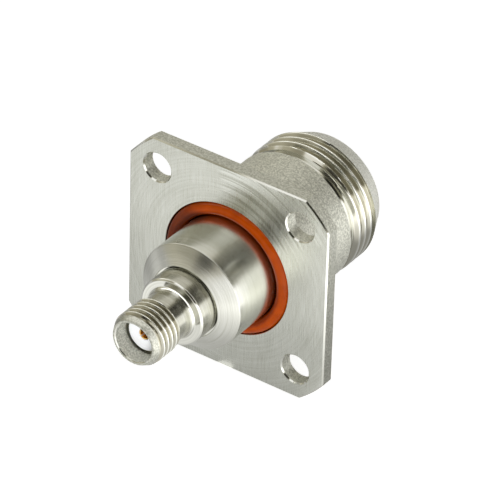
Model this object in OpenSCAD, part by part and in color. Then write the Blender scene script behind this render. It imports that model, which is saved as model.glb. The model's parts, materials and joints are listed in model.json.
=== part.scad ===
// Panel adapter: N jack on one side of a square four-hole flange, SMA jack on the other.
// The turned axis is Y. The N jack points to +Y and the SMA jack to -Y.
// The origin is the centre of the flange face that seals against the panel.

/* [Flange] */
// Side of the square flange
flange_side = 25.4; // [24.8:0.1:28]
// Thickness of the flange
flange_thickness = 1.7; // [1.5:0.1:3]
// Steel left between a fixing hole and the round corner beside it
corner_wall = 1.4; // [1:0.1:2]
// Distance between neighbouring hole centres
hole_spacing = 18.24; // [17.6:0.02:18.6]
// Diameter of the four fixing holes
hole_diameter = 3.4; // [2.7:0.1:3.6]
// Chamfer at both rims of the fixing holes
hole_chamfer = 0.15; // [0.05:0.05:0.2]
// Chamfer round both faces of the flange
flange_chamfer = 0.15; // [0.05:0.05:0.3]

/* [Panel seal] */
// Thickness of the O-ring's cord
seal_section = 1.55; // [1.4:0.05:1.8]
// Room on each side of the O-ring in its groove
seal_clearance = 0.06; // [0.02:0.01:0.1]
// Depth of the O-ring groove in the flange
groove_depth = 1.2; // [1:0.05:1.3]

/* [N barrel outside] */
// Diameter of the plain barrel behind the flange
barrel_diameter = 15.6; // [15:0.1:15.7]
// Length of the plain barrel
barrel_length = 10.35; // [9:0.05:12]
// Chamfer on the end of the plain barrel
barrel_chamfer = 0.1; // [0.05:0.05:0.15]
// Diameter of the thread relief
relief_diameter = 14.4; // [14:0.1:14.6]
// Length of the thread relief
relief_length = 1.1; // [0.8:0.1:1.6]
// Major diameter of the 5/8-24 thread
thread_diameter = 15.75; // [15.66:0.01:15.84]
// Length of the threaded stretch
thread_length = 3.4; // [3:0.1:5]
// Chamfer where that stretch rises from the relief
thread_chamfer = 0.4; // [0.2:0.05:0.5]
// Length of the tapered nose in front of the thread
nose_length = 2.6; // [2:0.1:3]
// Diameter of the flat front rim of the nose
nose_diameter = 13.25; // [12.6:0.05:14]

/* [N socket inside] */
// Chamfer at the mouth of the N jack
mouth_chamfer = 0.4; // [0.2:0.05:0.8]
// Diameter of the bore that takes the plug's outer contact
bore_diameter = 8.1; // [8.03:0.01:8.2]
// Depth of the shoulder that the plug's outer contact meets
shoulder_depth = 9.1; // [9:0.02:9.3]
// Diameter of the coaxial bore behind the shoulder
line_bore_diameter = 7; // [6.8:0.05:7.2]

/* [N contact] */
// Outer diameter of the N centre contact
contact_diameter = 3.04; // [2.9:0.02:3.2]
// How far the N contact stands in front of the shoulder
contact_reach = 5.26; // [4.8:0.02:5.3]
// How deep the N contact's head sits in its insulator
contact_seat = 0.85; // [0.5:0.05:1.5]
// Diameter of the N contact inside its insulator
waist_diameter = 2.1; // [1.9:0.05:2.4]
// Diameter of the hole that takes the plug's pin
socket_diameter = 1.66; // [1.62:0.01:1.7]
// Depth of that hole
socket_depth = 5.1; // [4.7:0.1:5.6]
// Chamfer round the contact's tip
tip_chamfer = 0.2; // [0.1:0.05:0.25]
// Chamfer at the mouth of its hole
socket_chamfer = 0.2; // [0.1:0.05:0.25]
// Length of the four slots in the N contact
slot_length = 4.3; // [3.5:0.1:4.5]
// Width of those slots
slot_width = 0.25; // [0.2:0.01:0.3]

/* [SMA end outside] */
// Diameter of the plain stub that carries the O-ring
stub_diameter = 12.5; // [12:0.05:13]
// Length of the stub in front of the flange
stub_length = 6.25; // [5:0.05:8]
// Length of the cone at the end of the stub
cone_length = 1.2; // [0.8:0.05:2]
// Diameter of the collar on the SMA shell
collar_diameter = 7.9; // [7.6:0.05:8.6]
// Length of the collar from its seat
collar_length = 2.7; // [2:0.05:4]
// Chamfer at both ends of the collar
collar_chamfer = 0.2; // [0.1:0.05:0.3]
// Depth of the recess that the collar seats in
collar_recess = 0.3; // [0.25:0.05:0.6]
// Width of the open ring between the collar and its recess
collar_ring = 0.2; // [0.1:0.05:0.3]
// Diameter of the neck behind the SMA thread
neck_diameter = 5.5; // [5.2:0.05:5.5]
// Length of the neck
neck_length = 2.45; // [1.5:0.05:3.5]
// Major diameter of the 1/4-36 thread
sma_thread_diameter = 6.25; // [6.17:0.01:6.34]
// Length of the threaded stretch
sma_thread_length = 3.25; // [3:0.05:5]
// Chamfer where that stretch meets the neck
sma_thread_chamfer = 0.25; // [0.1:0.05:0.3]
// Length of the tapered nose in front of the thread
sma_nose_length = 0.95; // [0.6:0.05:1.2]
// Diameter of the flat front rim of the nose
sma_nose_diameter = 5.25; // [5.1:0.05:5.5]

/* [SMA socket inside] */
// Diameter of the bore that takes the SMA plug's outer contact
sma_bore_diameter = 4.6; // [4.58:0.01:4.7]
// Depth of that bore, to the plane where plug and jack meet
sma_bore_depth = 1.9; // [1.8:0.02:2]
// Chamfer at the mouth of that bore
sma_mouth_chamfer = 0.1; // [0.05:0.05:0.15]
// Diameter of the coaxial bore through the shell
sma_line_diameter = 4.1; // [4:0.02:4.2]
// Length of the shell's stem inside the body
stem_length = 6.15; // [4:0.05:6.9]
// Outer diameter of the SMA centre contact
sma_contact_diameter = 1.27; // [1.24:0.01:1.3]
// Diameter of the hole that takes the SMA plug's pin
sma_socket_diameter = 0.94; // [0.93:0.01:0.96]
// Depth of that hole
sma_socket_depth = 2.9; // [2.6:0.1:3.4]
// Chamfer at the mouth of that hole
sma_socket_chamfer = 0.08; // [0.04:0.01:0.1]
// Length of the four slots in the SMA contact
sma_slot_length = 1.9; // [1.5:0.1:2.4]
// Width of those slots
sma_slot_width = 0.15; // [0.12:0.01:0.18]
// Diameter of the pin that joins the SMA contact to the N contact
link_diameter = 0.8; // [0.6:0.05:1]
// Length of that pin
link_length = 2.2; // [1.5:0.1:3]
// Chamfer at the tip of that pin
link_chamfer = 0.1; // [0.05:0.05:0.2]

/* [Fits] */
// Room around the shell's stem in the body
stem_clearance = 0.01; // [0:0.005:0.02]
// Room around the insulators
insulator_clearance = 0.02; // [0:0.01:0.05]
// Room around the pin that joins the contacts
link_clearance = 0.01; // [0:0.005:0.02]

/* [Hidden] */
$fn = 96;

STEEL = [0.72, 0.71, 0.67];
SILICONE = [0.86, 0.30, 0.04];
PTFE = [0.93, 0.94, 0.96];
GOLD = [0.90, 0.68, 0.26];

// How far a cut runs past the face that it opens
past = 1;
slots_round = 4;

// Stations along the axis on the N side, from the flange outwards
back_y = flange_thickness;
barrel_y = back_y + barrel_length;
relief_y = barrel_y + relief_length;
thread_y = relief_y + thread_length;
rim_y = thread_y + nose_length;
shoulder_y = rim_y - shoulder_depth;
tip_y = shoulder_y + contact_reach;

// Stations along the axis on the SMA side, from the flange outwards
stub_y = -stub_length;
cone_y = stub_y - cone_length;
seat_y = cone_y + collar_recess;
collar_y = seat_y - collar_length;
neck_y = collar_y - neck_length;
sma_thread_y = neck_y - sma_thread_length;
sma_rim_y = sma_thread_y - sma_nose_length;
sma_plane_y = sma_rim_y + sma_bore_depth;
stem_y = seat_y + stem_length;

// The flange corners are what is left of the round bar outside the fixing holes
corner_r = hole_spacing / sqrt(2) + hole_diameter / 2 + corner_wall;

// Radii that two pieces share
stub_r = stub_diameter / 2;
groove_r = stub_r + seal_section + 2 * seal_clearance;
recess_r = collar_diameter / 2 + collar_ring;
line_r = line_bore_diameter / 2;
sma_line_r = sma_line_diameter / 2;
insulator_r = line_r - insulator_clearance;

// Stands a piece drawn along Z on the adapter's axis
module on_axis() {
    rotate([-90, 0, 0]) children();
}

// A turned piece from its half section: radius first, then the station on the axis
module turned(section) {
    on_axis() rotate_extrude() polygon(section);
}

// A round cut or rod between two stations on the axis
module rod(diameter, from, to) {
    on_axis() translate([0, 0, from]) cylinder(d = diameter, h = to - from);
}

// A cone between two stations on the axis
module taper(from_diameter, to_diameter, from, to) {
    on_axis() translate([0, 0, from]) cylinder(d1 = from_diameter, d2 = to_diameter, h = to - from);
}

// The section of a plate that reaches from -half or from 0 to half, with both face edges chamfered
module plate_section(low, high) {
    c = flange_chamfer;
    left = low < 0 ? c : 0;
    polygon([
        [low + left, 0],
        [high - c, 0],
        [high, c],
        [high, flange_thickness - c],
        [high - c, flange_thickness],
        [low + left, flange_thickness],
        [low, flange_thickness - left],
        [low, left],
    ]);
}

// Square flange, with corners left round from the bar and every edge chamfered
module flange_plate() {
    half = flange_side / 2;
    intersection() {
        linear_extrude(flange_side, center = true) plate_section(-half, half);
        rotate([0, 90, 0]) linear_extrude(flange_side, center = true) plate_section(-half, half);
        on_axis() rotate_extrude() plate_section(0, corner_r);
    }
}

// One fixing hole with a chamfer at each rim
module fixing_hole() {
    rim = hole_diameter + 2 * hole_chamfer;
    rod(hole_diameter, -past, back_y + past);
    taper(rim, hole_diameter, 0, hole_chamfer);
    taper(hole_diameter, rim, back_y - hole_chamfer, back_y);
}

// Outside of the body, turned from one bar with the flange
module body_outside() {
    turned([
        [0, cone_y],
        [recess_r + collar_ring, cone_y],
        [stub_r, stub_y],
        [stub_r, back_y / 2],
        [barrel_diameter / 2, back_y / 2],
        [barrel_diameter / 2, barrel_y - barrel_chamfer],
        [barrel_diameter / 2 - barrel_chamfer, barrel_y],
        [relief_diameter / 2, barrel_y],
        [relief_diameter / 2, relief_y],
        [thread_diameter / 2 - thread_chamfer, relief_y],
        [thread_diameter / 2, relief_y + thread_chamfer],
        [thread_diameter / 2, thread_y],
        [nose_diameter / 2, rim_y],
        [0, rim_y],
    ]);
}

// Everything bored into the body: N socket, coaxial bore and the seat of the SMA shell
module body_bores() {
    rod(line_bore_diameter, cone_y - past, rim_y + past);
    rod(2 * recess_r, cone_y - past, seat_y);
    rod(bore_diameter, shoulder_y, rim_y + past);
    taper(bore_diameter, bore_diameter + 2 * mouth_chamfer, rim_y - mouth_chamfer, rim_y);
}

// Face groove for the O-ring, open to the stub
module seal_groove() {
    turned([
        [stub_r, -past],
        [groove_r, -past],
        [groove_r, groove_depth],
        [stub_r, groove_depth],
    ]);
}

// Saw cuts from the tip of a contact, crosswise through its socket
module saw_cuts(diameter, width, tip, root) {
    low = min(tip, root);
    span = abs(tip - root);
    for (turn = [0 : 180 / slots_round * 2 : 179])
        rotate([0, 45 + turn, 0]) translate([-diameter, low, -width / 2]) cube([2 * diameter, span, width]);
}

// Body: flange, N barrel and SMA stub in one piece of steel
module flange_body() {
    reach = hole_spacing / 2;
    color(STEEL) difference() {
        union() {
            flange_plate();
            body_outside();
        }
        body_bores();
        seal_groove();
        for (x = [-reach, reach], z = [-reach, reach])
            translate([x, 0, z]) fixing_hole();
    }
}

// SMA shell: its stem is pressed into the body and its collar seats in the recess
module sma_shell() {
    stem_r = line_r - stem_clearance;
    collar_r = collar_diameter / 2;
    neck_r = neck_diameter / 2;
    step = collar_chamfer;
    color(STEEL) difference() {
        turned([
            [0, sma_rim_y],
            [sma_nose_diameter / 2, sma_rim_y],
            [sma_thread_diameter / 2, sma_thread_y],
            [sma_thread_diameter / 2, neck_y - sma_thread_chamfer],
            [sma_thread_diameter / 2 - sma_thread_chamfer, neck_y],
            [neck_r, neck_y],
            [neck_r, collar_y - 2 * step],
            [neck_r + step, collar_y - step],
            [collar_r - step, collar_y],
            [collar_r, collar_y + step],
            [collar_r, seat_y - step],
            [collar_r - step, seat_y],
            [stem_r, seat_y],
            [stem_r, stem_y],
            [0, stem_y],
        ]);
        rod(sma_line_diameter, sma_rim_y - past, stem_y + past);
        rod(sma_bore_diameter, sma_rim_y - past, sma_plane_y);
        taper(sma_bore_diameter + 2 * sma_mouth_chamfer, sma_bore_diameter,
            sma_rim_y, sma_rim_y + sma_mouth_chamfer);
    }
}

// O-ring lying on the floor of its groove, proud of the flange face
module flange_seal() {
    r = seal_section / 2;
    color(SILICONE) on_axis() rotate_extrude()
        translate([stub_r + seal_clearance + r, groove_depth - r]) circle(r);
}

// N insulator: fills the coaxial bore from the shell's stem to the plug's shoulder
module n_insulator() {
    color(PTFE) difference() {
        rod(2 * insulator_r, stem_y, shoulder_y);
        rod(waist_diameter + 2 * insulator_clearance, stem_y - past, shoulder_y + past);
        rod(contact_diameter + 2 * insulator_clearance, shoulder_y - contact_seat, shoulder_y + past);
    }
}

// SMA insulator: fills the shell's bore, flush with the plane where plug and jack meet
module sma_insulator() {
    color(PTFE) difference() {
        rod(2 * (sma_line_r - insulator_clearance), sma_plane_y, stem_y);
        rod(sma_contact_diameter + 2 * insulator_clearance, sma_plane_y - past, stem_y + past);
    }
}

// N contact: slotted socket, waist held by the insulator, and a blind hole for the link pin
module n_contact() {
    head_y = shoulder_y - contact_seat;
    color(GOLD) difference() {
        union() {
            rod(contact_diameter, head_y, tip_y - tip_chamfer);
            taper(contact_diameter, contact_diameter - 2 * tip_chamfer, tip_y - tip_chamfer, tip_y);
            rod(waist_diameter, stem_y, head_y);
        }
        rod(socket_diameter, tip_y - socket_depth, tip_y + past);
        taper(socket_diameter, socket_diameter + 2 * socket_chamfer, tip_y - socket_chamfer, tip_y);
        saw_cuts(contact_diameter, slot_width, tip_y, tip_y - slot_length);
        rod(link_diameter + 2 * link_clearance, stem_y - past, stem_y + link_length + 2 * link_clearance);
    }
}

// SMA contact: slotted socket, rod through the insulator, and the link pin
module sma_contact() {
    pin_y = stem_y + link_length;
    color(GOLD) difference() {
        union() {
            rod(sma_contact_diameter, sma_plane_y, stem_y);
            rod(link_diameter, stem_y, pin_y - link_chamfer);
            taper(link_diameter, link_diameter - 2 * link_chamfer, pin_y - link_chamfer, pin_y);
        }
        rod(sma_socket_diameter, sma_plane_y - past, sma_plane_y + sma_socket_depth);
        taper(sma_socket_diameter + 2 * sma_socket_chamfer, sma_socket_diameter,
            sma_plane_y, sma_plane_y + sma_socket_chamfer);
        saw_cuts(sma_contact_diameter, sma_slot_width, sma_plane_y, sma_plane_y + sma_slot_length);
    }
}

flange_body();
sma_shell();
flange_seal();
n_insulator();
sma_insulator();
n_contact();
sma_contact();
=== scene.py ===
import json
import math

import bmesh
import bpy
from mathutils import Matrix, Vector
from mathutils.geometry import tessellate_polygon


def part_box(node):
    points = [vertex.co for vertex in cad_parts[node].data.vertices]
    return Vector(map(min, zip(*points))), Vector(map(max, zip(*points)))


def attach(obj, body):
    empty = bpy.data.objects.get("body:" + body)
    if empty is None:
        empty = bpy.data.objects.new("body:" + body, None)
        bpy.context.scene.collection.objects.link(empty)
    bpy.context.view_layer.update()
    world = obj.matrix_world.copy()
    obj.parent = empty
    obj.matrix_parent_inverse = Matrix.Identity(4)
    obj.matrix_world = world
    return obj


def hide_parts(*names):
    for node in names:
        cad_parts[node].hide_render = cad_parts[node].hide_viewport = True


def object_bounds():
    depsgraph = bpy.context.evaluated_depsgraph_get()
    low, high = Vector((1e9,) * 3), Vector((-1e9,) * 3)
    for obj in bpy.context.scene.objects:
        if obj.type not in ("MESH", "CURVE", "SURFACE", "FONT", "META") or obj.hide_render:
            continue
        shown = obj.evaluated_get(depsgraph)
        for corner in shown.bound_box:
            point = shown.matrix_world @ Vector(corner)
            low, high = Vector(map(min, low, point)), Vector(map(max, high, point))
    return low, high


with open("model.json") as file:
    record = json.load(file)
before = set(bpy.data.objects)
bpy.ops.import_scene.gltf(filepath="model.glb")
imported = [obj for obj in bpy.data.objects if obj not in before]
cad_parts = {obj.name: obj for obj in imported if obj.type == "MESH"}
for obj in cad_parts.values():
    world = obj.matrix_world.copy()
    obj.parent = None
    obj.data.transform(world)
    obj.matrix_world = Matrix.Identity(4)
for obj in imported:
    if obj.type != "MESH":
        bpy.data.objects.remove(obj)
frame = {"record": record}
cad_low, cad_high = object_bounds()

# ---------------------------------------------------------------- sizes
# Millimetres in the CAD frame: Y is the turned axis, +Y towards the N jack, Z is up.
MM = 0.001
TURN = 2 * math.pi
mounts = {m["name"]: m for m in frame["record"]["mounts"]}


def stations(node):
    """Lowest and highest corners of a CAD node, in millimetres."""
    low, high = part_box(node)
    return [v / MM for v in low], [v / MM for v in high]


def mount_size(name, key):
    """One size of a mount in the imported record, in millimetres."""
    return mounts[name]["dims"][key]


body_low, body_high = stations("flange_body")
shell_low, shell_high = stations("sma_shell")
seal_low, seal_high = stations("flange_seal")
plate_low, plate_high = stations("n_insulator")
disc_low, disc_high = stations("sma_insulator")
socket_low, socket_high = stations("n_contact")
pin_low, pin_high = stations("sma_contact")

# Flange. Its front face is at station 0.
half_side = body_high[0]
flange_back = 1.7
flange_break = 0.15
corner_r = 16.0  # the round bar that the flange was milled from
hole_reach = mount_size("flange_holes", "spacing_x_mm") / 2
hole_r = mount_size("flange_holes", "hole_r_mm")
hole_break = 0.15
groove_r = 7.92
groove_floor = 1.2
groove_break = 0.05
groove_fillet = 0.12

# N side of the body
barrel_r = 7.8
barrel_end = 12.05
barrel_break = 0.1
barrel_fillet = 0.25
relief_r = 7.2
relief_end = 13.15
relief_fillet = 0.15
thread_r = mount_size("n_thread", "r_mm")
thread_end = 16.55
thread_break = 0.4
rim_y = body_high[1]
rim_r = 6.625
bore_r = mount_size("n_bore", "r_mm")
mouth_break = 0.4
shoulder_y = plate_high[1]
line_r = 3.5

# SMA side of the body
stub_r = 6.25
stub_end = -6.25
cone_end = body_low[1]
recess_r = 4.15
recess_break = 0.06
stem_length = 6.15
stem_clearance = 0.01
recess_floor = shell_high[1] - stem_length

# SMA shell
collar_r = shell_high[0]
collar_end = recess_floor - 2.7
collar_break = 0.2
neck_r = 2.75
neck_end = -12.3
neck_step = 0.2  # the cove between neck and collar
sma_thread_r = mount_size("sma_thread", "r_mm")
sma_thread_end = -15.55
sma_thread_break = 0.25
sma_rim_y = shell_low[1]
sma_rim_r = 2.625
sma_bore_r = mount_size("sma_bore", "r_mm")
sma_mouth_break = 0.1
sma_plane_y = disc_low[1]
sma_line_r = 2.05
sma_gap_depth = 0.5  # the shaded gap round the white disc in the mouth

# Threads
PITCH_N, PITCH_SMA = 25.4 / 24, 25.4 / 36
DEPTH_N, DEPTH_SMA = 0.62, 0.42

# Insulators and contacts
n_contact_r = 1.52
n_waist_r = 1.05
n_contact_seat = 0.85  # how deep the N contact's head sits in its insulator
sma_contact_r = 0.635
insulator_clearance = 0.02

# ---------------------------------------------------------------- mesh helpers
ROUND = 256  # points round a turned surface
HOLE_STEPS = 72  # points round a fixing hole
CORNER_STEPS = 18  # pieces of each round corner of the flange
EASE_STEPS = 4  # pieces of a rounded edge
FINGER_STEPS = 14  # pieces round one finger of a contact
SEAL_STEPS = 48  # points round the O-ring's cord
WELD = 2e-4  # points nearer than this become one
SHARP_ANGLE = 28.0  # edges over this angle, in degrees, stay sharp
AXIS_R = 0.001  # where a solid section meets the axis


class Solid:
    """Collects points and faces of one closed piece, then welds them into an object."""

    def __init__(self):
        self.points, self.faces, self.paints = [], [], []

    def add(self, points, faces, paint=0):
        base = len(self.points)
        self.points += points
        self.faces += [tuple(base + i for i in f) for f in faces]
        self.paints += [paint] * len(faces)

    def build(self, name, materials, flat=()):
        """Makes the object. Faces whose material index is in flat aren't smoothed."""
        bm = bmesh.new()
        made = [bm.verts.new((x * MM, y * MM, z * MM)) for x, y, z in self.points]
        for face, paint in zip(self.faces, self.paints):
            bm.faces.new([made[i] for i in face]).material_index = paint
        bmesh.ops.remove_doubles(bm, verts=bm.verts, dist=WELD * MM)
        bmesh.ops.dissolve_degenerate(bm, edges=bm.edges, dist=WELD * MM / 2)
        bmesh.ops.recalc_face_normals(bm, faces=bm.faces)
        mesh = bpy.data.meshes.new(name)
        bm.to_mesh(mesh)
        bm.free()
        for material in materials:
            mesh.materials.append(material)
        mesh.polygons.foreach_set("use_smooth", [face.material_index not in flat for face in mesh.polygons])
        mesh.set_sharp_from_angle(angle=math.radians(SHARP_ANGLE))
        piece = bpy.data.objects.new(name, mesh)
        bpy.context.scene.collection.objects.link(piece)
        return piece


def on_circle(r, y, angle):
    return (r * math.cos(angle), y, r * math.sin(angle))


def circle_points(x, z, r, count):
    return [(x + r * math.cos(TURN * j / count), z + r * math.sin(TURN * j / count)) for j in range(count)]


def ring_of(radii, y):
    """A ring of points round the axis, each at its own radius."""
    return [on_circle(r, y, TURN * j / ROUND) for j, r in enumerate(radii)]


def skin(solid, rows, paint=0, closed=False):
    """Quads between neighbouring rows of points, each row a closed ring. paint may be a function of the row."""
    wide = len(rows[0])
    faces = [(j, (j + 1) % wide, wide + (j + 1) % wide, wide + j) for j in range(wide)]
    for k in range(len(rows) if closed else len(rows) - 1):
        points = rows[k] + rows[(k + 1) % len(rows)]
        solid.add(points, faces, paint(k) if callable(paint) else paint)


def lathe(solid, section, paint=0, closed=False):
    """Turns a section of (radius, station) points round Y."""
    skin(solid, [ring_of([r] * ROUND, y) for r, y in section], paint, closed)


def eased(corners):
    """A section with its corners rounded. corners holds (radius, station, rounding)."""
    out = []
    last = len(corners) - 1
    for i, (r, y, ease) in enumerate(corners):
        here = Vector((r, y))
        if ease == 0 or i in (0, last):
            out.append((r, y))
            continue
        before = (Vector(corners[i - 1][:2]) - here).normalized()
        after = (Vector(corners[i + 1][:2]) - here).normalized()
        start, end = here + before * ease, here + after * ease
        for s in range(EASE_STEPS + 1):
            t = s / EASE_STEPS
            p = start * (1 - t) ** 2 + here * 2 * t * (1 - t) + end * t * t
            out.append((p.x, p.y))
    return out


# One pitch of a 60 degree thread with a rounded root and a narrow crest: (share of pitch, share of depth)
TOOTH = [(0.00, 0.00), (0.08, 0.01), (0.13, 0.09), (0.40, 0.90), (0.43, 0.965), (0.465, 0.995), (0.5, 1.0),
         (0.535, 0.995), (0.57, 0.965), (0.60, 0.90), (0.87, 0.09), (0.92, 0.01), (1.00, 0.00)]
FLANK_KNOTS = {0.19, 0.25, 0.31, 0.36, 0.64, 0.69, 0.75, 0.81}
KNOTS = sorted({share for share, _ in TOOTH[:-1]} | FLANK_KNOTS)


def tooth_height(phase):
    """Height of the thread over its root, as a share of its depth, at a number of pitches along it."""
    phase -= math.floor(phase)
    for (a, low), (b, high) in zip(TOOTH, TOOTH[1:]):
        if phase <= b:
            return low + (high - low) * (phase - a) / (b - a)
    return 0.0


def thread(solid, low, high, pitch, crest_r, depth, paint, cap, least=lambda y: 0.0, early=0.0):
    """Right-hand thread between two stations, its helix turned back by the share early of a pitch. cap(y) is
    the bar's radius before the thread is cut, and the groove goes no deeper than least(y). Returns the radii
    round each open end."""
    turns = int((high - low) / pitch) + 4
    knots = [k + share for k in range(turns) for share in KNOTS]
    columns = []
    for j in range(ROUND + 1):
        start = low - pitch * (j / ROUND + early)
        column = []
        for knot in knots:
            y = min(max(start + knot * pitch, low), high)
            r = crest_r - depth * (1 - tooth_height((y - start) / pitch))
            column.append((min(max(r, least(y)), cap(y)), y))
        columns.append(column)
    tall = len(knots)
    points = [on_circle(r, y, TURN * j / ROUND) for j, column in enumerate(columns) for r, y in column]
    faces = [(a, a + 1, a + tall + 1, a + tall)
             for j in range(ROUND) for a in range(j * tall, (j + 1) * tall - 1)]
    solid.add(points, faces, paint)
    return [column[0][0] for column in columns[:-1]], [column[-1][0] for column in columns[:-1]]


# ---------------------------------------------------------------- material helpers
class Paint:
    """A material with its Principled shader and short ways to add nodes. Its nodes work in millimetres."""

    def __init__(self, name, color, metallic, roughness, **extra):
        self.material = bpy.data.materials.new(name)
        self.material.use_nodes = True
        self.tree = self.material.node_tree
        self.shader = self.tree.nodes["Principled BSDF"]
        self.set("Base Color", (*color, 1.0))
        self.set("Metallic", metallic)
        self.set("Roughness", roughness)
        for key, value in extra.items():
            self.set(key.replace("_", " "), value)
        metres = self.node("ShaderNodeTexCoord")
        place = self.node("ShaderNodeVectorMath", operation="SCALE")
        place.inputs["Scale"].default_value = 1 / MM
        self.link(metres.outputs["Object"], place.inputs[0])
        self.place = place.outputs[0]
        split = self.node("ShaderNodeSeparateXYZ")
        self.link(self.place, split.inputs[0])
        self.x, self.y, self.z = (split.outputs[i] for i in "XYZ")

    def set(self, socket, value):
        self.shader.inputs[socket].default_value = value

    def node(self, kind, **settings):
        made = self.tree.nodes.new(kind)
        for key, value in settings.items():
            setattr(made, key, value)
        return made

    def link(self, out, into):
        self.tree.links.new(out, into)

    def math(self, operation, a, b=None, clamp=False):
        made = self.node("ShaderNodeMath", operation=operation, use_clamp=clamp)
        for i, value in enumerate((a, b)):
            if value is None:
                continue
            if isinstance(value, (int, float)):
                made.inputs[i].default_value = value
            else:
                self.link(value, made.inputs[i])
        return made.outputs[0]

    def noise(self, vector, detail=2.0, rough=0.5):
        made = self.node("ShaderNodeTexNoise")
        made.inputs["Scale"].default_value = 1.0
        made.inputs["Detail"].default_value = detail
        made.inputs["Roughness"].default_value = rough
        self.link(vector, made.inputs["Vector"])
        return made.outputs["Fac"]

    def stretch(self, x, y, z):
        """Position with each axis scaled."""
        made = self.node("ShaderNodeVectorMath", operation="MULTIPLY")
        self.link(self.place, made.inputs[0])
        made.inputs[1].default_value = (x, y, z)
        return made.outputs[0]

    def radius(self):
        """Distance from the turned axis."""
        squares = self.math("ADD", self.math("MULTIPLY", self.x, self.x), self.math("MULTIPLY", self.z, self.z))
        return self.math("SQRT", squares)

    def turned(self, along, across):
        """Coordinates for tool marks: fine along the radius and the axis, slow round the turn."""
        r = self.radius()
        safe = self.math("MAXIMUM", r, 0.01)
        parts = (self.math("MULTIPLY", self.math("DIVIDE", self.x, safe), across),
                 self.math("MULTIPLY", self.math("ADD", r, self.y), along),
                 self.math("MULTIPLY", self.math("DIVIDE", self.z, safe), across))
        made = self.node("ShaderNodeCombineXYZ")
        for part, socket in zip(parts, made.inputs):
            self.link(part, socket)
        return made.outputs[0]

    def roughen(self, value, low, high):
        """Roughness from low to high as the value goes from 0 to 1."""
        made = self.node("ShaderNodeMapRange")
        made.inputs["To Min"].default_value = low
        made.inputs["To Max"].default_value = high
        self.link(value, made.inputs["Value"])
        self.link(made.outputs["Result"], self.shader.inputs["Roughness"])

    def tint(self, value, low, high, start=0.3, end=0.7):
        """Colour from low to high as the value goes from start to end."""
        made = self.node("ShaderNodeValToRGB")
        made.color_ramp.elements[0].position = start
        made.color_ramp.elements[1].position = end
        made.color_ramp.elements[0].color = (*low, 1)
        made.color_ramp.elements[1].color = (*high, 1)
        self.link(value, made.inputs["Fac"])
        self.link(made.outputs["Color"], self.shader.inputs["Base Color"])

    def bump(self, *layers):
        """layers holds (height, depth, strength)."""
        normal = None
        for height, depth, strength in layers:
            made = self.node("ShaderNodeBump")
            made.inputs["Distance"].default_value = depth * MM
            made.inputs["Strength"].default_value = strength
            self.link(height, made.inputs["Height"])
            if normal is not None:
                self.link(normal, made.inputs["Normal"])
            normal = made.outputs["Normal"]
        self.link(normal, self.shader.inputs["Normal"])


def tool_marked(paint, along, across, low, high, rough, bump, detail=2.0, grit=0.5):
    """Tool marks round the axis. low and high are their colours, rough their range of roughness, and bump
    their depth and strength."""
    marks = paint.noise(paint.turned(along, across), detail, grit)
    paint.tint(marks, low, high)
    paint.roughen(marks, *rough)
    paint.bump((marks, *bump))
    return paint.material


def faced_steel():
    """Flange faces: facing cuts round the axis under light upright brushing, with a painted reflection of dark
    streaks in one sector.
    """
    p = Paint("faced_steel", (0.63, 0.64, 0.585), 1.0, 0.26, Anisotropic=0.3)
    rings = p.noise(p.turned(5.0, 1.2), 4.0, 0.65)
    brush = p.noise(p.stretch(9.0, 1.0, 0.35), 4.0, 0.6)
    cloud = p.noise(p.stretch(0.25, 0.25, 0.12), 3.0)
    streak = p.math("ADD", p.math("MULTIPLY", brush, 0.45), p.math("MULTIPLY", rings, 0.35))
    streak = p.math("ADD", streak, p.math("MULTIPLY", cloud, 0.2))
    # Painted reflection: in one sector of the front, up and to the right, the colour is darkened and streaked
    # along the facing cuts, where their reflection shows dark; the cuts show in the bump only there too
    lean = p.math("ADD", p.math("MULTIPLY", p.x, 0.42), p.math("MULTIPLY", p.z, 0.91))
    lean = p.math("DIVIDE", lean, p.math("MAXIMUM", p.radius(), 0.01))
    painted_reflection_sector = p.math("MULTIPLY", p.math("SUBTRACT", lean, 0.85), 8.0, clamp=True)
    painted_reflection_sector = p.math("MULTIPLY", painted_reflection_sector, p.math("LESS_THAN", p.y, 0.5))
    cuts = p.math("MULTIPLY", p.noise(p.turned(3.2, 0.9), 1.0), painted_reflection_sector)
    painted_dark_streaks = p.math("SUBTRACT", p.math("MULTIPLY", cuts, 3.0), p.math("MULTIPLY", painted_reflection_sector, 1.36))
    p.tint(p.math("ADD", streak, painted_dark_streaks), (0.52, 0.525, 0.465), (0.75, 0.76, 0.71), 0.36, 0.64)
    p.roughen(brush, 0.2, 0.36)
    p.bump((rings, 0.016, 0.6), (brush, 0.004, 0.35), (cuts, 0.03, 0.6))
    return p.material


def turned_steel():
    """Turned outsides: fine feed marks."""
    return tool_marked(Paint("turned_steel", (0.63, 0.63, 0.585), 1.0, 0.2), 9.0, 0.7,
                       (0.56, 0.56, 0.505), (0.71, 0.71, 0.67), (0.14, 0.30), (0.003, 0.4), 4.0, 0.6)


def dulled_steel():
    """The SMA neck and collar: turned, and darker than the body."""
    return tool_marked(Paint("dulled_steel", (0.48, 0.47, 0.41), 1.0, 0.2), 9.0, 0.7,
                       (0.42, 0.41, 0.35), (0.56, 0.56, 0.50), (0.14, 0.3), (0.004, 0.4), 4.0, 0.6)


def cut_steel():
    """Bores, relief, chamfers and steps: bright and close to polished."""
    return tool_marked(Paint("cut_steel", (0.70, 0.70, 0.65), 1.0, 0.1), 14.0, 0.5,
                       (0.65, 0.65, 0.60), (0.76, 0.76, 0.71), (0.05, 0.15), (0.0015, 0.25))


def blasted_steel(name, low, high):
    """Matte surfaces with a fine mottled grain."""
    p = Paint(name, high, 1.0, 0.5)
    grain = p.noise(p.stretch(5.0, 5.0, 5.0), 3.0, 0.6)
    p.tint(grain, low, high, 0.36, 0.64)
    p.roughen(grain, 0.5, 0.7)
    p.bump((grain, 0.015, 0.6))
    return p.material


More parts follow.
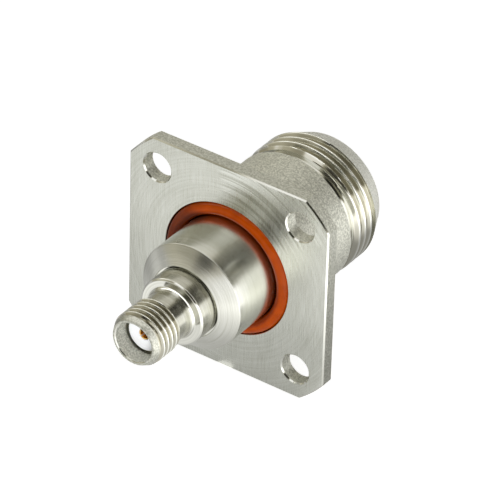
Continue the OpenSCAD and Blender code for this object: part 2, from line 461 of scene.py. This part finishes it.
def edged_steel():
    """The flange's four thin sides and the SMA nose: mottled, and duller than the faces."""
    p = Paint("edged_steel", (0.45, 0.45, 0.40), 1.0, 0.5)
    grain = p.noise(p.stretch(4.0, 6.0, 4.0), 3.0, 0.6)
    p.tint(grain, (0.32, 0.32, 0.27), (0.59, 0.59, 0.535), 0.37, 0.63)
    p.roughen(grain, 0.3, 0.44)
    p.bump((grain, 0.01, 0.45))
    return p.material


def threaded_steel(name, root_r, crest_r, root_shade_color):
    """Threads: painted shade, brownish, in the groove and a painted highlight, bright, along the crest."""
    p = Paint(name, (0.5, 0.5, 0.45), 1.0, 0.15)
    height = p.node("ShaderNodeMapRange")
    height.inputs["From Min"].default_value = root_r
    height.inputs["From Max"].default_value = crest_r
    p.link(p.radius(), height.inputs["Value"])
    # Painted shade and highlight: the colour goes from the groove's shade to the crest's highlight with the
    # distance from the axis
    p.tint(height.outputs["Result"], root_shade_color, (0.88, 0.88, 0.83), 0.72, 0.97)
    marks = p.noise(p.turned(14.0, 0.5))
    p.roughen(marks, 0.04, 0.12)
    p.bump((marks, 0.002, 0.3))
    return p.material


def silicone():
    """Satin orange rubber, with painted shade on the side that faces the stub."""
    p = Paint("silicone_orange", (0.36, 0.05, 0.0), 0.0, 0.12, Subsurface_Weight=0.1,
              Subsurface_Scale=0.0006, Specular_IOR_Level=0.12)
    p.set("Subsurface Radius", (1.0, 0.25, 0.05))
    haze = p.noise(p.stretch(0.6, 0.6, 0.6), 3.0)
    # Painted shade: the colour darkens inside 7.1 mm of the axis, on the side that faces the stub and lies in
    # its shadow
    inner = p.math("MULTIPLY", p.math("SUBTRACT", 7.1, p.radius()), 1.6, clamp=True)
    p.tint(p.math("SUBTRACT", haze, inner), (0.2, 0.024, 0.0), (0.39, 0.055, 0.0), 0.0, 0.7)
    dust = p.noise(p.stretch(7.0, 7.0, 7.0))
    p.roughen(dust, 0.05, 0.13)
    p.bump((dust, 0.003, 0.25))
    return p.material


def ptfe():
    """White insulator with faint turning marks."""
    p = Paint("ptfe_white", (0.90, 0.91, 0.94), 0.0, 0.45, Subsurface_Weight=0.25, Subsurface_Scale=0.0008)
    p.set("Subsurface Radius", (1.0, 0.95, 0.9))
    return tool_marked(p, 8.0, 0.4, (0.88, 0.89, 0.925), (0.92, 0.93, 0.955), (0.38, 0.55), (0.004, 0.3))


def gold():
    """Plated contacts."""
    return tool_marked(Paint("gold_plate", (0.92, 0.60, 0.19), 1.0, 0.22), 12.0, 0.5,
                       (0.88, 0.55, 0.16), (0.95, 0.66, 0.25), (0.16, 0.32), (0.002, 0.25))


FACED, TURNED, DULL, BLASTED, NOSE, CUT, EDGED, THREAD_N, THREAD_SMA = range(9)
steels = [
    faced_steel(), turned_steel(), dulled_steel(),
    blasted_steel("blasted_steel", (0.46, 0.46, 0.405), (0.82, 0.82, 0.75)),
    blasted_steel("blasted_steel_nose", (0.60, 0.60, 0.545), (0.88, 0.88, 0.84)),
    cut_steel(), edged_steel(),
    threaded_steel("threaded_steel_n", thread_r - DEPTH_N, thread_r, (0.56, 0.545, 0.47)),
    threaded_steel("threaded_steel_sma", sma_thread_r - DEPTH_SMA, sma_thread_r, (0.46, 0.445, 0.375)),
]


# ---------------------------------------------------------------- flange body
def flange_outline(inset):
    """The flange's outline, inset from its edge: four straight sides and four arcs of the bar."""
    half, r = half_side - inset, corner_r - inset
    meet = math.acos(half / r)
    points = []
    for quarter in range(4):
        turn = quarter * TURN / 4
        for s in range(CORNER_STEPS + 1):
            a = turn + meet + (TURN / 4 - 2 * meet) * s / CORNER_STEPS
            points.append((r * math.cos(a), r * math.sin(a)))
    return points


def plate_face(solid, y, loops):
    """A flat face with holes. loops holds the outline first, then the holes."""
    flat = [[Vector((x, z, 0)) for x, z in loop] for loop in loops]
    points = [(p.x, y, p.y) for loop in flat for p in loop]
    solid.add(points, [tuple(f) for f in tessellate_polygon(flat)], FACED)


def add_flange(solid):
    """Both faces, their chamfers, the thin sides and the four holes."""
    holes = [(sx * hole_reach, sz * hole_reach) for sx in (-1, 1) for sz in (-1, 1)]
    rim_loops = [circle_points(x, z, hole_r + hole_break, HOLE_STEPS) for x, z in holes]
    edge, inner = flange_outline(0), flange_outline(flange_break)
    groove_loop = circle_points(0, 0, groove_r + groove_break, ROUND)
    barrel_loop = circle_points(0, 0, barrel_r + barrel_fillet, ROUND)
    plate_face(solid, 0, [inner, *rim_loops, groove_loop])
    plate_face(solid, flange_back, [inner, *rim_loops, barrel_loop])
    near, far = flange_break, flange_back - flange_break
    for (a, ya), (b, yb) in (((inner, 0), (edge, near)), ((edge, far), (inner, flange_back))):
        skin(solid, [[(x, ya, z) for x, z in a], [(x, yb, z) for x, z in b]], CUT)
    arc = len(edge) // 4
    for i, (x, z) in enumerate(edge):
        x2, z2 = edge[(i + 1) % len(edge)]
        straight = i % arc == arc - 1
        solid.add([(x, near, z), (x2, near, z2), (x2, far, z2), (x, far, z)], [(0, 1, 2, 3)],
                  EDGED if straight else BLASTED)
    walls = [(hole_r + hole_break, 0), (hole_r, hole_break), (hole_r, flange_back - hole_break),
             (hole_r + hole_break, flange_back)]
    for x, z in holes:
        rows = [[(px, y, pz) for px, pz in circle_points(x, z, r, HOLE_STEPS)] for r, y in walls]
        skin(solid, rows, lambda k: BLASTED if k == 1 else CUT)


def make_body():
    solid = Solid()
    add_flange(solid)
    # From the O-ring groove over the stub, through the body's bores, to the N thread's first crest
    front = eased([
        (groove_r + groove_break, 0.0, 0), (groove_r, groove_break, 0),
        (groove_r, groove_floor, groove_fillet), (stub_r, groove_floor, groove_fillet),
        (stub_r, stub_end, 0.06), (recess_r + 0.05, cone_end, 0.04),
        (recess_r, cone_end + recess_break, 0), (recess_r, recess_floor, 0), (line_r, recess_floor, 0),
        (line_r, shoulder_y, 0), (bore_r, shoulder_y, 0), (bore_r, rim_y - mouth_break, 0),
        (bore_r + mouth_break, rim_y, 0.05), (rim_r, rim_y, 0.08), (thread_r, thread_end, 0),
    ])
    bores = next(i for i, (r, y) in enumerate(front) if abs(r - recess_r) < 1e-6)
    rim = next(i for i, (r, y) in enumerate(front) if abs(r - bore_r - mouth_break) < 0.1 and y > rim_y - 0.1)
    lathe(solid, front, lambda k: CUT if k == 0 or bores <= k < rim else TURNED if k < bores else NOSE)
    ends = thread(solid, relief_end, thread_end, PITCH_N, thread_r, DEPTH_N, THREAD_N,
                  lambda y: thread_r - thread_break + (y - relief_end))
    skin(solid, [ring_of(ends[1], thread_end), ring_of([thread_r] * ROUND, thread_end)], CUT)
    back = eased([
        (relief_r, relief_end, 0), (relief_r, barrel_end, relief_fillet),
        (barrel_r - barrel_break, barrel_end, 0), (barrel_r, barrel_end - barrel_break, 0.03),
        (barrel_r, flange_back, barrel_fillet), (barrel_r + barrel_fillet, flange_back, 0),
    ])
    skin(solid, [ring_of(ends[0], relief_end), ring_of([relief_r] * ROUND, relief_end)], CUT)
    barrel = next(i for i, (r, y) in enumerate(back) if abs(r - barrel_r) < 1e-6)
    lathe(solid, back, lambda k: BLASTED if k >= barrel else CUT)
    piece = solid.build("flange_body_turned", steels, flat=(FACED,))
    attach(piece, "root")
    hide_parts("flange_body")


# ---------------------------------------------------------------- the other pieces
def make_shell():
    solid = Solid()
    first_cut = sma_thread_end - PITCH_SMA / 2  # the thread starts half a turn down the tapered nose

    def cone(y):
        share = max(0.0, (sma_thread_end - y) / (sma_thread_end - sma_rim_y))
        return sma_thread_r + (sma_rim_r - sma_thread_r) * share

    nose = eased([
        (sma_bore_r, sma_plane_y, 0), (sma_bore_r, sma_rim_y + sma_mouth_break, 0),
        (sma_bore_r + sma_mouth_break, sma_rim_y, 0.03), (sma_rim_r, sma_rim_y, 0.06),
        (cone(first_cut), first_cut, 0),
    ])
    lathe(solid, nose, lambda k: BLASTED if k < 1 else CUT if k < 4 else EDGED)
    ends = thread(solid, first_cut, neck_end, PITCH_SMA, sma_thread_r, DEPTH_SMA, THREAD_SMA,
                  lambda y: min(cone(y), sma_thread_r - sma_thread_break + (neck_end - y)),
                  lambda y: cone(y) - 2 * DEPTH_SMA * (y - first_cut) / PITCH_SMA, early=0.5)
    skin(solid, [ring_of([cone(first_cut)] * ROUND, first_cut), ring_of(ends[0], first_cut)], CUT)
    skin(solid, [ring_of(ends[1], neck_end), ring_of([neck_r] * ROUND, neck_end)], CUT)
    # Neck and collar, then the stem with its bore, back to the mouth's floor
    stem_r = line_r - stem_clearance
    gap_floor = sma_plane_y + sma_gap_depth
    rear = eased([
        (neck_r, neck_end, 0), (neck_r, collar_end - 2 * neck_step, 0),
        (neck_r + neck_step, collar_end - neck_step, 0.1), (neck_r + 1.5 * neck_step, collar_end, 0.05),
        (collar_r - collar_break, collar_end, 0.06), (collar_r, collar_end + collar_break, 0.06),
        (collar_r, recess_floor - collar_break, 0.05), (collar_r - collar_break, recess_floor, 0),
        (stem_r, recess_floor, 0), (stem_r, shell_high[1], 0), (sma_line_r, shell_high[1], 0),
        (sma_line_r, gap_floor, 0), (sma_bore_r, gap_floor, 0), (sma_bore_r, sma_plane_y, 0),
    ])
    step = [i for i, (r, y) in enumerate(rear) if r > neck_r and y < collar_end + collar_break + 0.01]
    lathe(solid, rear, lambda k: CUT if step[0] <= k < step[-1] else DULL)
    piece = solid.build("sma_shell_turned", steels)
    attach(piece, "root")
    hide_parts("sma_shell")


def make_seal():
    """O-ring with the faint parting ridge of its mould."""
    ridge_height, ridge_width, ridge_turn = 0.006, 0.06, math.radians(45)
    cord_r = (seal_high[1] - seal_low[1]) / 2
    mid_r, mid_y = seal_high[0] - cord_r, (seal_low[1] + seal_high[1]) / 2
    section = []
    for s in range(SEAL_STEPS):
        a = TURN * s / SEAL_STEPS
        r = cord_r * (1 + ridge_height * math.exp(-(math.sin(a + ridge_turn) / ridge_width) ** 2))
        section.append((mid_r + r * math.cos(a), mid_y + r * math.sin(a)))
    solid = Solid()
    lathe(solid, section, closed=True)
    piece = solid.build("flange_seal_ring", [silicone()])
    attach(piece, "root")
    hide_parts("flange_seal")


def make_insulator(name, node, white, low, high, hole_r, ease):
    """A plug of PTFE with its hole. low and high are its corners."""
    outer, start, end = high[0], low[1], high[1]
    solid = Solid()
    section = eased([
        (hole_r, start + 0.5, 0), (hole_r, start, 0.05), (outer, start, ease), (outer, end, ease),
        (hole_r, end, 0.05), (hole_r, end - 0.5, 0),
    ])
    lathe(solid, section, closed=True)
    piece = solid.build(name, [white])
    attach(piece, "root")
    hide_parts(node)


def finger(solid, outer, inner, slot, start, tip, root, ease):
    """One of four fingers of a slotted socket, from its rounded tip to its root. start is the angle at which
    its quarter begins."""
    toward = 1 if root > tip else -1
    levels = [(0.0, ease), (ease * 0.3, ease * 0.3), (ease, 0.0), (abs(root - tip), 0.0)]
    rows = []
    for depth, inset in levels:
        y = tip + toward * depth
        row = []
        for r, way in ((outer - inset, 1), (inner + inset, -1)):
            off = math.asin(slot / 2 / r)
            angles = [start + off + (TURN / 4 - 2 * off) * s / FINGER_STEPS for s in range(FINGER_STEPS + 1)]
            row += [on_circle(r, y, a) for a in angles[::way]]
        rows.append(row)
    skin(solid, rows)
    for row in (rows[0], rows[-1]):
        half = len(row) // 2
        faces = [(s, s + 1, len(row) - 2 - s, len(row) - 1 - s) for s in range(half - 1)]
        solid.add(row, faces)


def make_contact(name, node, plating, tip, end, outer, inner, hole_depth, slot, slot_length, ease, waist=None):
    """Socket contact: four fingers, and a turned base behind the slots. waist is (radius, station) of the
    narrower part that runs to the end, where there is one."""
    toward = 1 if end > tip else -1
    root, floor = tip + toward * slot_length, tip + toward * hole_depth
    solid = Solid()
    for quarter in range(4):
        finger(solid, outer, inner, slot, TURN * (quarter / 4 + 1 / 8), tip, root, ease)
    hole = [(inner, root, 0), (inner, floor, 0), (AXIS_R, floor + toward * inner * 0.5, 0)]
    if waist is None:
        back = [(AXIS_R, end, 0), (outer, end, 0)]
    else:
        waist_r, head_y = waist
        back = [(AXIS_R, end, 0), (waist_r, end, 0), (waist_r, head_y, 0), (outer, head_y, 0)]
    lathe(solid, eased([(outer, root, 0), *hole, *back, (outer, root, 0)]))
    piece = solid.build(name, [plating])
    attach(piece, "root")
    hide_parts(node)


plating = gold()
make_body()
make_shell()
make_seal()
white = ptfe()
make_insulator("n_insulator_plug", "n_insulator", white, plate_low, plate_high,
               hole_r=n_contact_r + insulator_clearance, ease=0.08)
make_insulator("sma_insulator_plug", "sma_insulator", white, disc_low, disc_high,
               hole_r=sma_contact_r + insulator_clearance, ease=0.2)
make_contact("n_contact_socket", "n_contact", plating, socket_high[1], socket_low[1], n_contact_r,
             inner=mount_size("n_socket", "r_mm"), hole_depth=5.1, slot=0.25, slot_length=4.3, ease=0.2,
             waist=(n_waist_r, shoulder_y - n_contact_seat))
make_contact("sma_contact_socket", "sma_contact", plating, pin_low[1], pin_high[1], sma_contact_r,
             inner=mount_size("sma_socket", "r_mm"), hole_depth=2.9, slot=0.15, slot_length=1.9, ease=0.07)

# ---------------------------------------------------------------- studio
# In metres. The tones count angles in degrees: turn is round from +X, and rise is up from level.
FLOOR_GAP = 0.0002
FLOOR_SIZE = 2.0
FLOOR_GREY = 0.8
FLOOR_GLOW = 0.74  # lifts the floor to white for the rays that see the background
WORLD_FILL = 0.35
STUDIO_REACH = 1.2
BRIGHT_SIDE = -12.0  # the turn of the studio's brightest side
LENS_SIDE = Vector((0.4595, -0.6758, 0.5764))  # the tent has a dark opening here

# Cloths of the tent in the order they are laid: brightness, then (middle, reach, softness) of turn and of rise
FIRST_CLOTHS = ((0.98, (112, 26, 16), (40, 14, 10)), (0.02, (54, 15, 9), (30, 20, 8)),
                (0.03, (-98, 8, 6), (24, 8, 8)))
LAST_CLOTHS = ((1.2, (-103, 16, 6), (50, 7, 6)), (0.25, (30, 35, 15), (60, 10, 6)))
OPENING_TONE, STRIP_TONE, LOW_GAP_TONE = 0.06, 2.4, 0.1


def background_rays(tree):
    """1 for camera, glossy and transmission rays, which see the white background."""
    path = tree.nodes.new("ShaderNodeLightPath")
    total = path.outputs["Is Camera Ray"]
    for output in ("Is Glossy Ray", "Is Transmission Ray"):
        either = tree.nodes.new("ShaderNodeMath")
        either.operation = "MAXIMUM"
        tree.links.new(total, either.inputs[0])
        tree.links.new(path.outputs[output], either.inputs[1])
        total = either.outputs[0]
    return total


def make_floor():
    """Plain white floor."""
    mesh = bpy.data.meshes.new("floor")
    z = cad_low.z - FLOOR_GAP
    corners = [(-FLOOR_SIZE, -FLOOR_SIZE, z), (FLOOR_SIZE, -FLOOR_SIZE, z),
               (FLOOR_SIZE, FLOOR_SIZE, z), (-FLOOR_SIZE, FLOOR_SIZE, z)]
    mesh.from_pydata(corners, [], [(0, 1, 2, 3)])
    floor = bpy.data.objects.new("floor", mesh)
    bpy.context.scene.collection.objects.link(floor)
    material = bpy.data.materials.new("floor_white")
    material.use_nodes = True
    tree = material.node_tree
    shader = tree.nodes["Principled BSDF"]
    shader.inputs["Base Color"].default_value = (FLOOR_GREY, FLOOR_GREY, FLOOR_GREY, 1)
    shader.inputs["Roughness"].default_value = 0.9
    shader.inputs["Specular IOR Level"].default_value = 0.0
    shader.inputs["Emission Color"].default_value = (1, 1, 1, 1)
    glow = tree.nodes.new("ShaderNodeMath")
    glow.operation = "MULTIPLY"
    glow.inputs[1].default_value = FLOOR_GLOW
    tree.links.new(background_rays(tree), glow.inputs[0])
    tree.links.new(glow.outputs[0], shader.inputs["Emission Strength"])
    mesh.materials.append(material)


def reflector(name, points, faces, shade):
    """A studio card that only reflections see. shade gives its colour at each point."""
    mesh = bpy.data.meshes.new(name)
    mesh.from_pydata(points, [], faces)
    card = bpy.data.objects.new(name, mesh)
    bpy.context.scene.collection.objects.link(card)
    tones = mesh.attributes.new("tone", "FLOAT_COLOR", "POINT")
    for i, point in enumerate(points):
        tones.data[i].color = (*shade(Vector(point)), 1.0)
    material = bpy.data.materials.new(name)
    material.use_nodes = True
    tree = material.node_tree
    tree.nodes.clear()
    out = tree.nodes.new("ShaderNodeOutputMaterial")
    glow = tree.nodes.new("ShaderNodeEmission")
    tone = tree.nodes.new("ShaderNodeAttribute")
    tone.attribute_name = "tone"
    tree.links.new(tone.outputs["Color"], glow.inputs["Color"])
    tree.links.new(glow.outputs[0], out.inputs["Surface"])
    material.cycles.emission_sampling = "NONE"
    mesh.materials.append(material)
    for ray in ("camera", "diffuse", "transmission", "volume_scatter", "shadow"):
        setattr(card, "visible_" + ray, False)


def polar_grid(rings, columns, place):
    """Points and quads of a disc or dome. place takes the share of the way out and the angle round."""
    points = [place(i / rings, TURN * j / columns) for i in range(rings + 1) for j in range(columns)]
    faces = [(i * columns + j, i * columns + (j + 1) % columns, (i + 1) * columns + (j + 1) % columns,
              (i + 1) * columns + j) for i in range(rings) for j in range(columns)]
    return points, faces


def smooth(low, high, value):
    t = min(max((value - low) / (high - low), 0.0), 1.0)
    return t * t * (3 - 2 * t)


def lobe(value, middle, reach, soft):
    """1 within reach of the middle, falling to 0 over the next soft degrees."""
    away = abs((value - middle + 180) % 360 - 180)
    return 1 - smooth(reach, reach + soft, away)


def laid(level, tone, share):
    """The level with a share of another tone laid over it."""
    return level + (tone - level) * share


def side_tone(turn):
    """How bright the studio is low down: brightest at the right, and held back in front."""
    toward = (1 + math.cos(math.radians(turn - BRIGHT_SIDE))) / 2
    return 0.4 + 1.7 * toward ** 1.3 * (1 - 0.28 * lobe(turn, -78, 22, 18))


def dome_tone(point):
    """Light tent: a bright low wall at the right, paler cloth behind, dark gaps, and a strip light above."""
    d = point.normalized()
    rise = math.degrees(math.asin(d.z))
    turn = math.degrees(math.atan2(d.y, d.x))
    cloth = 0.42 + 0.2 * lobe(turn, 180, 30, 15)
    for tone, round_at, up_at in FIRST_CLOTHS:
        cloth = laid(cloth, tone, lobe(turn, *round_at) * lobe(rise, *up_at))
    cloth = laid(cloth, OPENING_TONE, 1 - smooth(15, 24, math.degrees(d.angle(LENS_SIDE))))
    strip = smooth(-0.36, -0.30, d.y) * (1 - smooth(-0.14, -0.08, d.y)) * smooth(0.3, 0.5, d.z)
    cloth = laid(cloth, STRIP_TONE, strip)
    for tone, round_at, up_at in LAST_CLOTHS:
        cloth = laid(cloth, tone, lobe(turn, *round_at) * lobe(rise, *up_at))
    wall_top = 9 + 9 * max(0.0, math.cos(math.radians(turn - BRIGHT_SIDE))) ** 4
    level = laid(side_tone(turn), cloth, smooth(wall_top, wall_top + 6, rise))
    level = laid(level, LOW_GAP_TONE, lobe(turn, 92, 30, 12) * (1 - smooth(20, 26, rise)))
    warm = 1 - smooth(0.5, 1.3, level)
    return level, level * (1 - 0.045 * warm), level * (1 - 0.24 * warm)


def table_tone(point):
    """White table as the metal sees it: greyer close to the part, where the part's shadow is painted in, and
    brightest at the right.
    """
    x, y = point.x, point.y
    turn = math.degrees(math.atan2(y, x))
    away = math.hypot(x, (y - 0.001) / 1.6)
    # Painted shadow: the tone close to the part stands in for the part's own shadow on the table
    near = 0.40 + 0.22 * smooth(-0.004, 0.003, -y) + 0.25 * smooth(0.008, 0.015, -y)
    near += 0.2 * smooth(0.006, 0.014, -x) * smooth(0.0, 0.004, -y)
    far = side_tone(turn) + 0.3 * smooth(0.010, 0.020, -y) * (1 - smooth(0.03, 0.06, -y))
    # Painted shadow of the flange on the table, behind it and to the right
    far *= 1 - 0.66 * lobe(turn, 50, 30, 20) * (1 - smooth(0.028, 0.045, away))
    # The painted shadow reaches further out behind the flange
    start = 0.006 + 0.004 * smooth(-0.004, 0.010, y)
    level = laid(near, far, smooth(start, start + 0.03, away))
    return level, level, level * 0.975


def make_reflectors():
    def dome(share, turn):
        rise = TURN / 4 * share
        out = STUDIO_REACH * math.cos(rise)
        return out * math.cos(turn), out * math.sin(turn), STUDIO_REACH * math.sin(rise)

    def table(share, turn):
        away = 0.001 + STUDIO_REACH * share ** 3
        return away * math.cos(turn), away * math.sin(turn), cad_low.z - FLOOR_GAP / 2

    reflector("studio_tent", *polar_grid(90, 96, dome), dome_tone)
    reflector("studio_table", *polar_grid(60, 96, table), table_tone)


def make_world():
    """White for the rays that see the background, and a soft fill for the rest."""
    world = bpy.data.worlds.new("studio")
    bpy.context.scene.world = world
    world.use_nodes = True
    tree = world.node_tree
    tree.nodes.clear()
    out = tree.nodes.new("ShaderNodeOutputWorld")
    mix = tree.nodes.new("ShaderNodeMixShader")
    tree.links.new(background_rays(tree), mix.inputs["Fac"])
    for socket, strength in ((1, WORLD_FILL), (2, 1.0)):
        background = tree.nodes.new("ShaderNodeBackground")
        background.inputs["Color"].default_value = (1, 1, 1, 1)
        background.inputs["Strength"].default_value = strength
        tree.links.new(background.outputs[0], mix.inputs[socket])
    tree.links.new(mix.outputs[0], out.inputs["Surface"])


def softbox(name, place, aim, size, power):
    light = bpy.data.lights.new(name, "AREA")
    light.shape = "RECTANGLE"
    light.size, light.size_y = size
    light.energy = power
    lamp = bpy.data.objects.new(name, light)
    lamp.location = place
    lamp.rotation_mode = "QUATERNION"
    lamp.rotation_quaternion = (Vector(aim) - Vector(place)).to_track_quat("-Z", "Y")
    lamp.visible_glossy = False
    bpy.context.scene.collection.objects.link(lamp)


def make_camera():
    """Long lens at the right, in front and above."""
    azimuth, elevation, roll = (math.radians(v) for v in (34.21, 35.20, 1.68))
    distance, target = 0.4725, Vector((2.59 * MM, 0, 4.07 * MM))
    forward = Vector((-math.sin(azimuth) * math.cos(elevation), math.cos(azimuth) * math.cos(elevation),
                      -math.sin(elevation)))
    level = Vector((math.cos(azimuth), math.sin(azimuth), 0))
    above = level.cross(forward)
    right = level * math.cos(roll) + above * math.sin(roll)
    up = above * math.cos(roll) - level * math.sin(roll)
    data = bpy.data.cameras.new("camera")
    camera = bpy.data.objects.new("camera", data)
    turn = Matrix((right, up, -forward)).transposed()
    camera.matrix_world = Matrix.Translation(target - forward * distance) @ turn.to_4x4()
    data.sensor_width = 36.0
    data.lens = 326.2
    data.shift_x, data.shift_y = 0.0048, -0.0076
    data.clip_start, data.clip_end = 0.01, 10.0
    bpy.context.scene.collection.objects.link(camera)
    bpy.context.scene.camera = camera


make_floor()
make_reflectors()
make_world()
softbox("key", place=(0.38, -0.56, 0.06), aim=(0, 0, 0), size=(0.3, 0.12), power=4.0)
make_camera()
bpy.context.scene.view_settings.view_transform = "Standard"
